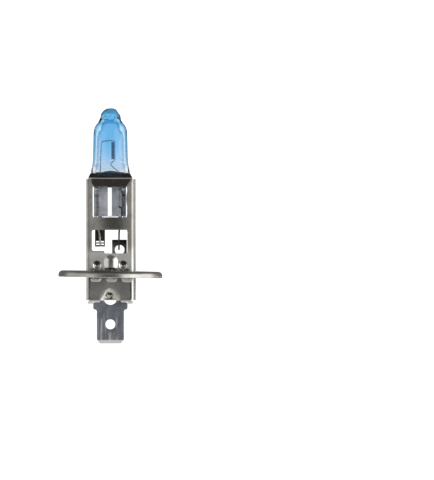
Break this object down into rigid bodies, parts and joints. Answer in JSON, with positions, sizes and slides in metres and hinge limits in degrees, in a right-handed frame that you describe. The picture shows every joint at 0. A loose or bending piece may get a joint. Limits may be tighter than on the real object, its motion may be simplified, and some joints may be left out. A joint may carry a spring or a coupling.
{
  "type": "headlight bulb",
  "caption": "Single-filament halogen headlight bulb: blue-tinted glass capsule in a windowed sheet-metal sleeve with a round prefocus flange and a flat blade terminal.",
  "frame": {"origin": "centre of the flange's glass-side face, the plane that seats in the lamp", "axes": "+Z along the bulb's axis towards the glass tip, the wide faces of the sleeve and blade face -Y and +Y, the sleeve's seam is on +X"},
  "size_m": [0.0244, 0.0234, 0.0549],
  "materials": {
    "glass": "clear quartz with a blue coating, strongest at the tip",
    "plated": "satin nickel-plated sheet",
    "blade": "dull nickel-plated strip with wear scratches",
    "strip": "dull dark sheet",
    "molybdenum": "smooth grey metal",
    "tungsten": "drawn wire",
    "ceramic": "unglazed pressed steatite"
  },
  "bodies": {
    "root": {"glass_envelope": "glass", "filament": "tungsten", "inner_lead_long": "molybdenum", "inner_lead_short": "molybdenum", "foil_left": "molybdenum", "foil_right": "molybdenum", "outer_lead_ground": "molybdenum", "outer_lead_live": "molybdenum", "ground_weld_slug": "plated", "ground_tab": "strip", "contact_strip": "strip", "pinch_spring_left": "strip", "pinch_spring_right": "strip", "sleeve": "plated", "insulator_front": "ceramic", "insulator_rear": "ceramic", "flange": "plated", "terminal_blade": "blade"}
  },
  "joints": []
}
